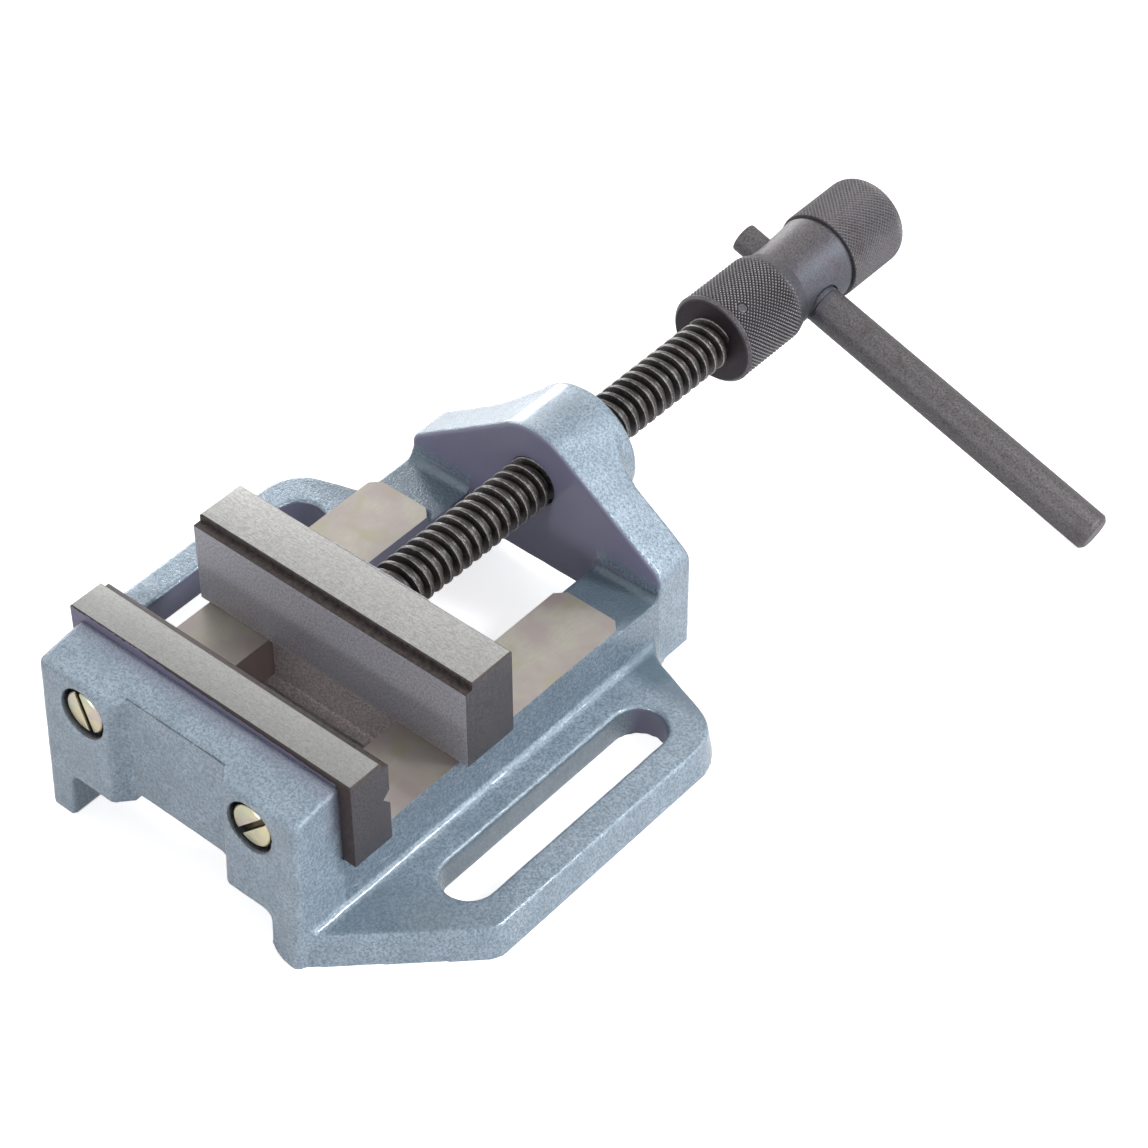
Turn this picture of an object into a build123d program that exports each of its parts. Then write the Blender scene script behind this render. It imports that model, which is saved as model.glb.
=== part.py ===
from build123d import *
import os
from math import cos, radians, sin, tan

# Drill press vise with a fixed jaw, a sliding jaw on two ways and a spindle in a rear bridge.
# Frame: millimetres, +Z up, +Y from the fixed jaw to the handle, +X to the right seen from the front.
# The origin lies on the table's surface, midway between the two bolt slots' centres.
os.makedirs("parts", exist_ok=True)

# Jaws and opening
JAW_W = 100.0            # width of the moving jaw
JAW_TOP = 58.0           # height of both jaws over the table
OPENING = 30.8           # gap between the jaws as shown
JAW_T = 18.4             # thickness of the moving jaw
PLATE_W = 102.4          # width of the fixed jaw plate
PLATE_T = 14.0           # thickness of the fixed jaw plate
STEP_DEEP = 2.6          # step along the top edge of each jaw, into the jaw
STEP_HIGH = 2.4          # step along the top edge of each jaw, down from the top
GROOVE_Z = 44.0          # height of the V groove across the fixed plate
GROOVE_H = 5.0           # mouth of the V groove
GROOVE_D = 2.4           # depth of the V groove
CLOSED_Y = -49.0         # clamping face of the fixed plate

# Body and ways
BODY_X = 47.0            # half width of the body over the ways, the wall and the bridge
WAY_Z = 28.0             # ground top of the ways
WAY_GAP = 47.8           # gap between the ways
WAY_T = 14.0             # thickness of the ways over the hollow underside
WAY_END_Y = 50.0         # rear end of the ground tops
WAY_CORNER = 3.0         # cut corners at the rear end of the ground tops
RUNOUT = 2.6             # how far the cast surface behind the ways lies under them
WEB_T = 9.6              # thickness of the side webs and of the front feet

# Base and ears
EAR_H = 10.5             # thickness of the ears
EAR_OUT = 84.2           # outer edge of each ear from the middle
EAR_DRAFT = 9.0          # draft of the ears' edges, degrees
EAR_FRONT_Y = -45.0      # where the outer edge starts, behind the slanted front
EAR_BACK_Y = 50.0        # corner where the outer edge turns in at the rear
EAR_ROOT_Y = 62.5        # where the rear edge would meet the body's side
EAR_ROOT_R = 12.0        # hollow round in plan between them
EAR_FRONT_R = 9.0        # front corner of an ear in plan
EAR_BACK_R = 16.0        # rear corner of an ear in plan
SLOT_X = 65.0            # centre of each bolt slot from the middle
SLOT_W = 16.0            # width of a bolt slot
SLOT_RUN = 70.0          # distance between the centres of a slot's round ends

# Fixed jaw wall
WALL_T = 16.5            # thickness of the wall at its top
WALL_DRAFT = 2.9         # slope of its outer face, degrees
WALL_DROP = 5.0          # how far the front of the wall's top lies under the plate's top
WALL_RISE = 2.5          # how much higher the rear of the wall's top is
WALL_CORNER_R = 2.0      # upright front corners of the wall
PAD_IN = 21.4            # inner edge of each end pad from the middle
PANEL_DEEP = 4.7         # how far the middle of the wall lies behind the pads
PANEL_SLANT = 4.0        # how far a pad's slanted flank reaches in under it
PANEL_R = 1.8            # upright corners of the flanks
FOOT_ARCH_H = 15.7       # height of the arch between the front feet
FOOT_ARCH_R = 2.5        # upper corners of that arch
FOOT_ROUND = (1.6, 6.0)  # lower inner edges of the left and right webs, the right one ground rounder
PANEL_ARCH_H = 19.0      # height of the arch under the middle panel
PANEL_ARCH_R = 3.0       # upper corners of that arch

# Rear bridge
BRIDGE_Y = 65.5          # front face of the bridge
BRIDGE_T = 14.0          # thickness of its wings
GABLE_SLOPE = 35.0       # slope of the wings' tops, degrees
EAVE_R = 5.0             # shoulders of the wings
BOSS_R = 19.0            # radius of the boss round the spindle
BOSS_LEN = 24.5          # length of the boss from the bridge's front face
BOSS_END_R = 2.4         # round rear edge of the boss
BOSS_ROOT_R = 7.5        # root between the boss and the wings
ARCH_X = 22.0            # half width of the arch under the bridge
BRIDGE_ARCH_H = 13.5     # height of the arch under the bridge
BRIDGE_ARCH_R = 6.0      # upper corners of that arch

# Spindle and retainer
AXIS_Z = 43.2            # height of the spindle's axis
SPINDLE_R = 8.0          # outside of the spindle's thread
NOSE_R = 7.0             # plain nose in the moving jaw
NOSE_LEN = 12.0          # length of the nose inside the jaw
NECK_R = 5.0             # groove for the retainer
RETAINER_T = 3.0         # thickness of the forked retainer
RETAINER_W = 40.0        # width of the retainer
RETAINER_UP = 11.0       # top of the retainer over the spindle's axis
RETAINER_DOWN = 8.0      # lower end of its fork under the axis

# Head
HEAD_Y = 146.0           # front face of the head
HEAD_R = 14.6            # radius over the knurled bands
HEAD_LEN = 79.0          # length of the head
BAND_1 = 25.5            # length of the front knurled band
BAND_2 = 27.0            # length of the rear knurled band
NECK_WAIST_R = 12.8      # smallest radius of the neck between the bands
NECK_END_R = 13.8        # radius of the neck in front of the rear band
HEAD_FRONT_C = 1.2       # broken edge of the head's front face
BAND_1_R = 3.5           # round rear edge of the front band
BAND_1_STEP = 1.2        # short cone between that edge and the neck
HEAD_END_R = 5.0         # round rear edge of the head
SPIGOT_R = 6.0           # end of the spindle inside the head
SPIGOT_LEN = 24.0        # how far the spindle reaches into the head
PIN_R = 1.6              # radius of the cross pin
PIN_BACK = 6.0           # pin behind the head's front face
PIN_ANGLE = 61.5         # direction of the pin about the spindle's axis, degrees

# Lever
LEVER_BACK = 38.8        # lever behind the head's front face
LEVER_ANGLE = -17.7      # direction of the lever about the spindle's axis, degrees
LEVER_R = 6.2            # radius of the lever
LEVER_OUT = 120.5        # far end of the lever from the spindle's axis
LEVER_THIN_R = 4.7       # radius of its stepped end
LEVER_THIN_OUT = 19.9    # where the stepped end comes out, from the axis
LEVER_END_C = 1.2        # cut edge of the lever's far end
SEAT_OUT = 11.4          # flat seat of the lever's shoulder, from the axis
SEAT_R = 6.7             # radius of the spot face round the shoulder

# Fasteners
PLATE_SCREW_X = 30.8     # each plate screw from the middle
PLATE_SCREW_Z = 43.0     # height of the plate screws
PLATE_SCREW_R = 4.0      # shank radius of a plate screw
PLATE_HEAD_R = 6.5       # head radius of a plate screw
PLATE_HEAD_H = 5.0       # head height of a plate screw
PLATE_SINK_R = 7.6       # counterbore radius in the wall
PLATE_SINK = 5.8         # depth of the counterbore at the screw's axis
PLATE_BITE = 9.0         # how far a plate screw goes into the plate
DRIVE_TURNS = (71.0, -46.0)  # how far the left and right plate screws' slots are turned, degrees
DRIVE_W = 2.0            # width of a screwdriver slot
DRIVE_D = 2.0            # depth of a screwdriver slot
BOLT_R = 4.0             # shank radius of a keeper bolt
BOLT_FLATS = 13.0        # hexagon of a keeper bolt across its flats
BOLT_HEAD_H = 5.3        # head height of a keeper bolt
BOLT_BITE = 11.0         # how far a keeper bolt goes into the tongue
BOLT_SPAN = 16.0         # distance between the keeper bolts
FORK_SCREW_X = 14.0      # each retainer screw from the middle
FORK_SCREW_UP = 4.0      # retainer screws over the spindle's axis
FORK_SCREW_R = 2.0       # shank radius of a retainer screw
FORK_HEAD_R = 3.6        # head radius of a retainer screw
FORK_HEAD_H = 2.4        # head height of a retainer screw
FORK_DRIVE_W = 0.8       # width of its screwdriver slot
FORK_BITE = 8.0          # how far a retainer screw goes into the jaw

# Tongue and keeper
TONGUE_BACK = 1.2        # tongue's front behind the jaw's front
TONGUE_LEN = 32.0        # length of the tongue along the ways
KEEPER_W = 66.0          # width of the keeper plate
KEEPER_LEN = 34.0        # length of the keeper plate
KEEPER_T = 5.0           # thickness of the keeper plate

# Clearances
SLIDE = 0.1              # between sliding flat faces
RUN = 0.05               # between a shaft or shank and its hole
LOOSE = 0.3              # round a screw's shank in a clearance hole
PLAY = 0.1               # end play of the spindle in the jaw
TIP = 1.0                # left under the tip of a screw

# Edges and roots
EDGE_R = 1.2             # outer edges of the casting
ROOT_R = 3.0             # roots where a casting's faces meet
ARRIS = 0.4              # broken edges of the machined pieces
KEEPER_C = 1.2           # cut corners of the keeper plate
FORK_R = 3.6             # round corners of the retainer
NOSE_C = 1.2             # cut ends of the spindle and of its groove
PAST = 1.0               # how far a cut runs past the face it opens
TOUCH = 0.01             # a point this near to a plane lies on it

# Places worked out from the sizes above
JAW_FRONT = CLOSED_Y + OPENING
JAW_BACK = JAW_FRONT + JAW_T
PLATE_BACK = CLOSED_Y - PLATE_T
WALL_TOP = JAW_TOP - WALL_DROP
WALL_FRONT = PLATE_BACK - WALL_T
WALL_FOOT = WALL_FRONT - WALL_TOP * tan(radians(WALL_DRAFT))
SCREW_FACE = WALL_FRONT - (WALL_TOP - PLATE_SCREW_Z) * tan(radians(WALL_DRAFT))
SCREW_SEAT = SCREW_FACE + PLATE_SINK
UNDER_Z = WAY_Z - WAY_T
CAVITY_X = BODY_X - WEB_T
PANEL_X = PAD_IN - PANEL_SLANT
BRIDGE_BACK = BRIDGE_Y + BRIDGE_T
BRIDGE_MID = BRIDGE_Y + BRIDGE_T / 2
TONGUE_FRONT = JAW_FRONT + TONGUE_BACK
TONGUE_MID = TONGUE_FRONT + TONGUE_LEN / 2
KEEPER_TOP = UNDER_Z - SLIDE
KEEPER_Z = KEEPER_TOP - KEEPER_T
RETAINER_BACK = JAW_BACK + RETAINER_T
FORK_SCREW_Z = AXIS_Z + FORK_SCREW_UP
LEVER_Y = HEAD_Y + LEVER_BACK
PIN_Y = HEAD_Y + PIN_BACK
SIDES = (-1, 1)


def slab(x0, x1, y0, y1, z0, z1):
    """A block between three pairs of limits."""
    return Pos((x0 + x1) / 2, (y0 + y1) / 2, (z0 + z1) / 2) * Box(x1 - x0, y1 - y0, z1 - z0)


def rod(radius, y0, y1, x=0.0, z=AXIS_Z):
    """A round bar along Y."""
    return Pos(x, (y0 + y1) / 2, z) * Rot(90, 0, 0) * Cylinder(radius, y1 - y0)


def post(radius, z0, z1, y):
    """A round bar along Z in the middle plane."""
    return Pos(0, y, (z0 + z1) / 2) * Cylinder(radius, z1 - z0)


def spoke(radius, start, end, angle, y):
    """A round bar square to the spindle's axis, between two distances from it."""
    place = Pos(0, y, AXIS_Z) * Rot(0, -angle, 0) * Pos((start + end) / 2, 0, 0) * Rot(0, 90, 0)
    return place * Cylinder(radius, end - start)


def along_x(points, x0, x1):
    """A YZ outline drawn out along X."""
    return extrude(Plane.YZ.offset(x0) * make_face(Polyline(*points, close=True)), x1 - x0)


def along_y(outline, y0, y1):
    """A face drawn in X and Z, drawn out along +Y."""
    plane = Plane(origin=(0, y0, 0), x_dir=(1, 0, 0), z_dir=(0, -1, 0))
    return extrude(plane * outline, y0 - y1)


def turned(stations):
    """A solid of revolution about the spindle's axis, from (y, radius) stations."""
    first = stations[0][0]
    last = stations[-1][0]
    outline = [(0, first)] + [(radius, y) for y, radius in stations] + [(0, last)]
    face = make_face(Polyline(*outline, close=True))
    return Pos(0, 0, AXIS_Z) * revolve(face, Axis.Y)


def arched(half_width, height, corner_r):
    """An arch in X and Z with rounded upper corners, open below the base."""
    tall = height + PAST
    face = Pos(0, height - tall / 2) * Rectangle(2 * half_width, tall)
    upper = face.vertices().sort_by(Axis.Y)[2:]
    return fillet(upper, corner_r)


def near(shape, test):
    """Edges of a shape whose middle meets a test."""
    return shape.edges().filter_by(lambda e: test(e.center()))


def on(place, plane):
    """Whether a coordinate lies on a plane."""
    return abs(place - plane) < TOUCH


def bolt_slot():
    """The long hole through the right ear."""
    plan = Pos(SLOT_X, 0, -PAST) * Rot(0, 0, 90) * SlotCenterToCenter(SLOT_RUN, SLOT_W)
    return extrude(plan, EAR_H + 2 * PAST)


def ear_plan():
    """Plan of the base under the right ear."""
    front = Vector(EAR_OUT, EAR_FRONT_Y)
    back = Vector(EAR_OUT, EAR_BACK_Y)
    root = Vector(BODY_X, EAR_ROOT_Y)
    start = WALL_CORNER_R / 2
    plan = Polyline(
        (CAVITY_X, WALL_FOOT + WALL_CORNER_R), (BODY_X - start, WALL_FOOT + start), front, back, root,
        (BODY_X, BRIDGE_MID), (CAVITY_X, BRIDGE_MID), close=True,
    )
    face = make_face(plan)
    for corner, radius in ((front, EAR_FRONT_R), (back, EAR_BACK_R), (root, EAR_ROOT_R)):
        face = fillet(face.vertices().sort_by_distance(corner)[0], radius)
    return face


def root_outline(wall, floor, side):
    """Outline of the hollow round between an upright face and a floor, on one side of the face."""
    wide = ROOT_R + PAST
    inset = (ROOT_R - PAST) / 2
    corner = Pos(wall + side * inset, floor + inset) * Rectangle(wide, wide)
    return corner - Pos(wall + side * ROOT_R, floor + ROOT_R) * Circle(ROOT_R)


def ear_root():
    """The root between the right ear's top and the body's side."""
    root = along_y(root_outline(BODY_X, EAR_H, 1), WALL_FOOT, BRIDGE_MID)
    return root & extrude(ear_plan(), EAR_H + ROOT_R, taper=EAR_DRAFT)


def make_ear():
    """The right ear with drafted edges, its bolt slot, rounded rims and its root on the body."""
    ear = extrude(ear_plan(), EAR_H, taper=EAR_DRAFT) - bolt_slot()
    ear = fillet(near(ear, lambda c: c.X > BODY_X and on(c.Z, EAR_H)), EDGE_R)
    return ear + ear_root()


def wall_plan():
    """Plan of the wall at the table: two pads with slanted flanks and the middle between them."""
    panel_y = WALL_FOOT + PANEL_DEEP
    right = [(PANEL_X, panel_y), (PAD_IN, WALL_FOOT), (BODY_X, WALL_FOOT), (BODY_X, PLATE_BACK)]
    left = [(-x, y) for x, y in reversed(right)]
    face = make_face(Polyline(*left, *right, close=True))
    corners = face.vertices().filter_by(lambda v: on(v.Y, WALL_FOOT) and abs(v.X) > PAD_IN + TOUCH)
    face = fillet(corners, WALL_CORNER_R)
    flanks = face.vertices().filter_by(lambda v: abs(v.X) < PAD_IN + TOUCH)
    return fillet(flanks, PANEL_R)


def wall_top(y):
    """Height of the wall's sloping top."""
    return WALL_TOP + WALL_RISE * (y - WALL_FRONT) / WALL_T


def make_wall():
    """The fixed jaw's wall: its outer side leans back, its top rises to the plate, its rim is round."""
    lean = radians(WALL_DRAFT)
    wall = extrude(wall_plan(), JAW_TOP / cos(lean), dir=(0, tan(lean), 1))
    top = [(y, wall_top(y)) for y in (WALL_FOOT, PLATE_BACK)]
    wall &= along_x([(WALL_FOOT, 0), *top, (PLATE_BACK, 0)], -BODY_X, BODY_X)
    return fillet(near(wall, lambda c: on(c.Z, wall_top(c.Y)) and c.Y < PLATE_BACK - TOUCH), EDGE_R)


def gable():
    """Outline of the bridge: wings that run up to the boss's circle."""
    slope = radians(GABLE_SLOPE)
    touch_x = BOSS_R * sin(slope)
    touch_z = AXIS_Z + BOSS_R * cos(slope)
    eave_z = touch_z - (BODY_X - touch_x) * tan(slope)
    right = Polyline((touch_x, touch_z), (BODY_X, eave_z), (BODY_X, 0), (-BODY_X, 0), (-BODY_X, eave_z),
                     (-touch_x, touch_z))
    crown = ThreePointArc((-touch_x, touch_z), (0, AXIS_Z + BOSS_R), (touch_x, touch_z))
    face = make_face(right + crown)
    eaves = face.vertices().filter_by(lambda v: on(v.Y, eave_z))
    return fillet(eaves, EAVE_R)


def make_bridge():
    """The bridge with rounded rims and its root on the body."""
    bridge = along_y(gable(), BRIDGE_Y, BRIDGE_BACK)
    bridge = fillet(near(bridge, lambda c: c.Z > 0 and (on(c.Y, BRIDGE_Y) or on(c.Y, BRIDGE_BACK))), EDGE_R)
    root = root_outline(BRIDGE_Y, WAY_Z - RUNOUT, -1)
    return bridge + extrude(Plane.YZ.offset(-BODY_X) * root, 2 * BODY_X)


def make_boss():
    """The boss behind the bridge, with a wide root on the wings."""
    end_y = BRIDGE_Y + BOSS_LEN
    boss = rod(BOSS_R, BRIDGE_MID, end_y)
    boss = fillet(near(boss, lambda c: on(c.Y, end_y)), BOSS_END_R)
    inside = BOSS_R - PAST
    base = (BOSS_R + BOSS_ROOT_R, BRIDGE_BACK)
    tip = (BOSS_R, BRIDGE_BACK + BOSS_ROOT_R)
    edge = Polyline(tip, (inside, tip[1]), (inside, BRIDGE_MID), (base[0], BRIDGE_MID), base)
    root = RadiusArc(base, tip, BOSS_ROOT_R)
    collar = Pos(0, 0, AXIS_Z) * revolve(make_face(edge + root), Axis.Y)
    return boss + (collar & along_y(gable(), BRIDGE_MID, tip[1]))


def make_body():
    """The casting's outside: body, ways, wall, bridge, boss and ears."""
    body = make_wall() + make_bridge()
    body += slab(-BODY_X, BODY_X, PLATE_BACK, BRIDGE_MID, 0, WAY_Z - RUNOUT)
    body += slab(-BODY_X, BODY_X, PLATE_BACK, WAY_END_Y, 0, WAY_Z)
    ear = make_ear()
    return body + ear + mirror(ear, Plane.YZ) + make_boss()


def web_round(side, radius):
    """What rounds the lower inner edge of one side web."""
    wide = radius + PAST
    corner = Pos(side * (CAVITY_X - PAST + wide / 2), radius - wide / 2) * Rectangle(wide, wide)
    round_edge = Pos(side * (CAVITY_X + radius), radius) * Circle(radius)
    return along_y(corner - round_edge, WALL_FOOT - PAST, BRIDGE_Y)


def underside():
    """What is open under the casting: the hollow base, the gap and the arches."""
    low = -PAST
    front = (WALL_FOOT - PAST, PLATE_BACK + PAST)
    hollow = slab(-CAVITY_X, CAVITY_X, PLATE_BACK, BRIDGE_Y, low, UNDER_Z)
    hollow += slab(-WAY_GAP / 2, WAY_GAP / 2, PLATE_BACK, BRIDGE_Y, low, WAY_Z + PAST)
    hollow += along_y(arched(ARCH_X, BRIDGE_ARCH_H, BRIDGE_ARCH_R), BRIDGE_Y - PAST, BRIDGE_BACK + PAST)
    hollow += along_y(arched(CAVITY_X, FOOT_ARCH_H, FOOT_ARCH_R), *front)
    return hollow + along_y(arched(PANEL_X, PANEL_ARCH_H, PANEL_ARCH_R), *front)


def way_corner(side):
    """The cut corners of one way at its rear end."""
    corners = []
    for edge_x in (BODY_X, WAY_GAP / 2):
        corner = Pos(side * edge_x, WAY_END_Y, WAY_Z) * Rot(0, 0, 45)
        size = WAY_CORNER * 2 ** 0.5
        corners.append(corner * Box(size, size, 2 * RUNOUT))
    return corners[0] + corners[1]


def make_casting():
    """The body casting with its openings and machined holes."""
    casting = make_body() - underside()
    casting -= rod(SPINDLE_R + RUN, BRIDGE_Y - PAST, BRIDGE_Y + BOSS_LEN + PAST)
    for side, radius in zip(SIDES, FOOT_ROUND):
        x = side * PLATE_SCREW_X
        casting -= web_round(side, radius)
        casting -= way_corner(side)
        casting -= rod(PLATE_SINK_R, WALL_FOOT - PAST, SCREW_SEAT, x, PLATE_SCREW_Z)
        casting -= rod(PLATE_SCREW_R + LOOSE, SCREW_SEAT, PLATE_BACK + PAST, x, PLATE_SCREW_Z)
    return casting


def make_plate():
    """The fixed jaw plate with its step, V groove and tapped holes."""
    half = GROOVE_H / 2
    ledge = CLOSED_Y - STEP_DEEP
    outline = [
        (PLATE_BACK, WAY_Z), (PLATE_BACK, JAW_TOP), (ledge, JAW_TOP), (ledge, JAW_TOP - STEP_HIGH),
        (CLOSED_Y, JAW_TOP - STEP_HIGH), (CLOSED_Y, GROOVE_Z + half), (CLOSED_Y - GROOVE_D, GROOVE_Z),
        (CLOSED_Y, GROOVE_Z - half), (CLOSED_Y, WAY_Z),
    ]
    plate = along_x(outline, -PLATE_W / 2, PLATE_W / 2)
    plate = chamfer(near(plate, lambda c: on(c.Z, JAW_TOP)), ARRIS)
    for side in SIDES:
        plate -= rod(PLATE_SCREW_R + RUN, PLATE_BACK - PAST, PLATE_BACK + PLATE_BITE + TIP,
                     side * PLATE_SCREW_X, PLATE_SCREW_Z)
    return plate


def make_plate_screw(side, turn):
    """A slotted cheese head screw that enters from the wall's outer face."""
    x = side * PLATE_SCREW_X
    face = SCREW_SEAT - PLATE_HEAD_H
    head = rod(PLATE_HEAD_R, face, SCREW_SEAT, x, PLATE_SCREW_Z)
    head = chamfer(near(head, lambda c: on(c.Y, face)), ARRIS)
    drive = Pos(x, face, PLATE_SCREW_Z) * Rot(0, turn, 0) * Box(2 * PLATE_SINK_R, 2 * DRIVE_D, DRIVE_W)
    return head - drive + rod(PLATE_SCREW_R, SCREW_SEAT, PLATE_BACK + PLATE_BITE, x, PLATE_SCREW_Z)


def make_moving_jaw():
    """The moving jaw with its step, its tongue, the spindle's seat and tapped holes."""
    ledge = JAW_FRONT + STEP_DEEP
    bottom = WAY_Z + SLIDE
    outline = [
        (JAW_FRONT, bottom), (JAW_FRONT, JAW_TOP - STEP_HIGH), (ledge, JAW_TOP - STEP_HIGH),
        (ledge, JAW_TOP), (JAW_BACK, JAW_TOP), (JAW_BACK, bottom),
    ]
    jaw = along_x(outline, -JAW_W / 2, JAW_W / 2)
    jaw = chamfer(near(jaw, lambda c: on(c.Z, JAW_TOP)), ARRIS)
    half = WAY_GAP / 2 - SLIDE
    jaw += slab(-half, half, TONGUE_FRONT, TONGUE_FRONT + TONGUE_LEN, KEEPER_TOP, bottom)
    jaw -= rod(NOSE_R + RUN, JAW_BACK - NOSE_LEN - PLAY, JAW_BACK + PAST)
    for side in SIDES:
        y = TONGUE_MID + side * BOLT_SPAN / 2
        x = side * FORK_SCREW_X
        jaw -= post(BOLT_R + RUN, KEEPER_TOP - PAST, KEEPER_TOP + BOLT_BITE + TIP, y)
        jaw -= rod(FORK_SCREW_R + RUN, JAW_BACK - FORK_BITE - TIP, JAW_BACK + PAST, x, FORK_SCREW_Z)
    return jaw


def make_keeper():
    """The plate under the ways that keeps the jaw down."""
    half = KEEPER_LEN / 2
    plate = slab(-KEEPER_W / 2, KEEPER_W / 2, TONGUE_MID - half, TONGUE_MID + half, KEEPER_Z, KEEPER_TOP)
    plate = chamfer(plate.edges().filter_by(Axis.Z), KEEPER_C)
    for side in SIDES:
        plate -= post(BOLT_R + LOOSE, KEEPER_Z - PAST, KEEPER_TOP + PAST, TONGUE_MID + side * BOLT_SPAN / 2)
    return plate


def make_keeper_bolt(side):
    """A hexagon bolt from below through the keeper plate."""
    y = TONGUE_MID + side * BOLT_SPAN / 2
    low = KEEPER_Z - BOLT_HEAD_H
    hexagon = RegularPolygon(BOLT_FLATS / 2, 6, major_radius=False)
    head = extrude(Pos(0, y, low) * hexagon, BOLT_HEAD_H)
    return head + post(BOLT_R, KEEPER_Z, KEEPER_TOP + BOLT_BITE, y)


def make_retainer():
    """The forked plate that holds the spindle's nose in the moving jaw."""
    half = RETAINER_W / 2
    low = AXIS_Z - RETAINER_DOWN
    throat = NECK_R + RUN
    through = (JAW_BACK - PAST, RETAINER_BACK + PAST)
    plate = slab(-half, half, JAW_BACK, RETAINER_BACK, low, AXIS_Z + RETAINER_UP)
    plate = fillet(plate.edges().filter_by(Axis.Y), FORK_R)
    plate -= rod(throat, *through)
    plate -= slab(-throat, throat, *through, low - PAST, AXIS_Z)
    for side in SIDES:
        plate -= rod(FORK_SCREW_R + LOOSE, *through, side * FORK_SCREW_X, FORK_SCREW_Z)
    return plate


def make_fork_screw(side):
    """A slotted screw that holds the retainer."""
    x = side * FORK_SCREW_X
    face = RETAINER_BACK + FORK_HEAD_H
    head = rod(FORK_HEAD_R, RETAINER_BACK, face, x, FORK_SCREW_Z)
    head = chamfer(near(head, lambda c: on(c.Y, face)), ARRIS)
    head -= Pos(x, face, FORK_SCREW_Z) * Box(2 * FORK_HEAD_R + PAST, FORK_HEAD_H, FORK_DRIVE_W)
    return head + rod(FORK_SCREW_R, JAW_BACK - FORK_BITE, RETAINER_BACK, x, FORK_SCREW_Z)


def make_spindle():
    """The spindle: nose, groove, thread as a plain bar, and the end inside the head."""
    tip = JAW_BACK - NOSE_LEN
    groove = JAW_BACK - PLAY
    thread = RETAINER_BACK + PLAY
    end = HEAD_Y + SPIGOT_LEN
    bar = turned([
        (tip, NOSE_R - NOSE_C), (tip + NOSE_C, NOSE_R), (groove, NOSE_R), (groove, NECK_R), (thread, NECK_R),
        (thread, SPINDLE_R - NOSE_C), (thread + NOSE_C, SPINDLE_R), (HEAD_Y, SPINDLE_R), (HEAD_Y, SPIGOT_R),
        (end - NOSE_C, SPIGOT_R), (end, SPIGOT_R - NOSE_C),
    ])
    reach = SPINDLE_R + PAST
    return bar - spoke(PIN_R + RUN, -reach, reach, PIN_ANGLE, PIN_Y)


def make_head():
    """The knurled head, turned in one piece, with its bores and the lever's seat."""
    end = HEAD_Y + HEAD_LEN
    waist = HEAD_Y + BAND_1 + BAND_1_R + BAND_1_STEP
    rear_band = end - BAND_2
    blank = turned([
        (HEAD_Y, HEAD_R), (HEAD_Y + BAND_1, HEAD_R), (waist, NECK_WAIST_R), (LEVER_Y, NECK_WAIST_R),
        (rear_band, NECK_END_R), (rear_band, HEAD_R), (end, HEAD_R),
    ])
    blank = fillet(near(blank, lambda c: on(c.Y, end)), HEAD_END_R)
    blank = fillet(near(blank, lambda c: on(c.Y, HEAD_Y + BAND_1)), BAND_1_R)
    blank = chamfer(near(blank, lambda c: on(c.Y, HEAD_Y)), HEAD_FRONT_C)
    blank -= rod(SPIGOT_R + RUN, HEAD_Y - PAST, HEAD_Y + SPIGOT_LEN + TIP)
    reach = HEAD_R + PAST
    blank -= spoke(PIN_R + RUN, -reach, reach, PIN_ANGLE, PIN_Y)
    blank -= spoke(LEVER_THIN_R + RUN, -reach, reach, LEVER_ANGLE, LEVER_Y)
    return blank - spoke(SEAT_R, SEAT_OUT, reach, LEVER_ANGLE, LEVER_Y)


def make_lever():
    """The stepped lever: a thick bar with a shoulder and a thin end through the neck."""
    thick = spoke(LEVER_R, SEAT_OUT, LEVER_OUT, LEVER_ANGLE, LEVER_Y)
    ends = thick.edges().filter_by(GeomType.CIRCLE).sort_by(Axis.X)
    thick = chamfer(ends[-1], LEVER_END_C)
    thick = chamfer(thick.edges().filter_by(GeomType.CIRCLE).sort_by(Axis.X)[0], ARRIS)
    thin = spoke(LEVER_THIN_R, -LEVER_THIN_OUT, SEAT_OUT, LEVER_ANGLE, LEVER_Y)
    thin = chamfer(thin.edges().filter_by(GeomType.CIRCLE).sort_by(Axis.X)[0], ARRIS)
    return thick + thin


def make_pin():
    """The cross pin through the head and the spindle's end."""
    reach = HEAD_R - ARRIS
    return spoke(PIN_R, -reach, reach, PIN_ANGLE, PIN_Y)


def write(name, solid):
    """Store one node."""
    export_step(solid, os.path.join("parts", name + ".step"))


write("body_casting", make_casting())
write("fixed_jaw_plate", make_plate())
plate_screws = [make_plate_screw(side, turn) for side, turn in zip(SIDES, DRIVE_TURNS)]
write("jaw_plate_screws", Compound(plate_screws))
write("moving_jaw", make_moving_jaw())
write("keeper_plate", make_keeper())
write("keeper_bolts", Compound([make_keeper_bolt(side) for side in SIDES]))
write("spindle_retainer", make_retainer())
write("retainer_screws", Compound([make_fork_screw(side) for side in SIDES]))
write("spindle", make_spindle())
write("spindle_head", make_head())
write("head_pin", make_pin())
write("lever", make_lever())
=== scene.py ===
from math import atan2, ceil, cos, pi, radians, sin, tan

import bmesh
import bpy
import numpy as np
from mathutils import Matrix, Vector, noise


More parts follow.
